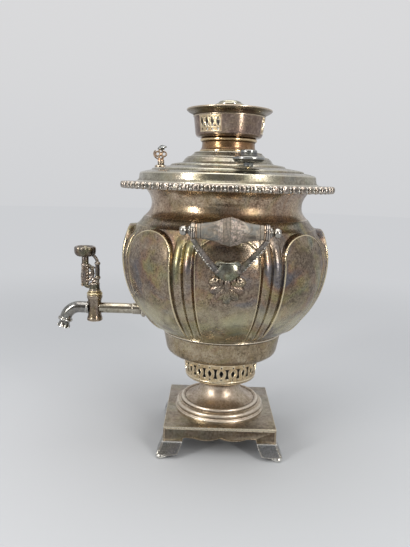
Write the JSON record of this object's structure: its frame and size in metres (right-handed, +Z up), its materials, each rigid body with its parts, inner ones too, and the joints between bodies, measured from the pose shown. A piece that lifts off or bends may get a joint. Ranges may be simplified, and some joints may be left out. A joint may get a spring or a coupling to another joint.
{
  "type": "samovar",
  "caption": "Charcoal samovar with a fluted body on a square footed plinth, a plug tap, a stepped lid with steam vent, a crown for the teapot and two side handles.",
  "frame": {"origin": "on the vertical axis of the samovar, at the plane of its four foot pads", "axes": "+Z up along the axis of the body, the tap points along -Y, the handles stand on +X and -X"},
  "size_m": [0.371, 0.3703, 0.46],
  "materials": {
    "silver_plate": "worn and tarnished silver plate",
    "lid_plate": "tarnished silver plate",
    "worn_copper": "copper showing through worn plate",
    "pale_plate": "pale yellowed plate",
    "bright_plate": "bright nickel plate, worn",
    "brass": "dull brass",
    "iron": "dark iron",
    "turned_grip": "weathered turned wood"
  },
  "bodies": {
    "vessel": {"plinth": "silver_plate", "foot_front_right": "silver_plate", "foot_front_left": "silver_plate", "foot_back_right": "silver_plate", "foot_back_left": "silver_plate", "pedestal": "silver_plate", "gallery": "pale_plate", "ash_pan": "iron", "bowl": "silver_plate", "body_wall": "silver_plate", "throat": "silver_plate", "rim_plate": "silver_plate", "bead_border": "bright_plate", "fire_tube": "iron", "grate": "iron", "handle_bracket_right": "silver_plate", "handle_grip_right": "turned_grip", "handle_rod_right": "iron", "handle_washers_right": "worn_copper", "handle_nuts_right": "bright_plate", "handle_rivets_right": "iron", "handle_bracket_left": "silver_plate", "handle_grip_left": "turned_grip", "handle_rod_left": "iron", "handle_washers_left": "worn_copper", "handle_nuts_left": "bright_plate", "handle_rivets_left": "iron", "tap_boss": "brass", "tap_strainer": "brass", "tap_body": "bright_plate", "tap_spout": "bright_plate", "tap_collar": "brass"},
    "lid": {"lid": "lid_plate", "lid_skirt": "lid_plate", "lid_knob_right": "lid_plate", "lid_knob_left": "lid_plate", "lid_knob_screws": "brass", "vent_seat": "lid_plate"},
    "vent_key": {"vent_key": "bright_plate"},
    "crown": {"crown_neck": "worn_copper", "crown_cup": "worn_copper", "crown_grilles": "bright_plate"},
    "cap": {"chimney_cap": "iron", "cap_button": "lid_plate"},
    "tap_key": {"tap_plug": "brass", "tap_key": "bright_plate", "tap_washer": "brass", "tap_nut": "brass"}
  },
  "joints": [
    {"name": "lid_lift", "type": "slide", "parent": "vessel", "child": "lid", "axis": [0, 0, 1], "range_m": [0, 0.06]},
    {"name": "vent_turn", "type": "hinge", "parent": "lid", "child": "vent_key", "pos_m": [0.02002, -0.08672, 0.38], "axis": [0, 0, 1], "range_deg": [-90, 90]},
    {"name": "crown_lift", "type": "slide", "parent": "lid", "child": "crown", "axis": [0, 0, 1], "range_m": [0, 0.06]},
    {"name": "cap_lift", "type": "slide", "parent": "crown", "child": "cap", "axis": [0, 0, 1], "range_m": [0, 0.06]},
    {"name": "tap_turn", "type": "hinge", "parent": "vessel", "child": "tap_key", "pos_m": [0, -0.1772, 0.179], "axis": [0, 0, 1], "range_deg": [-90, 90]}
  ]
}
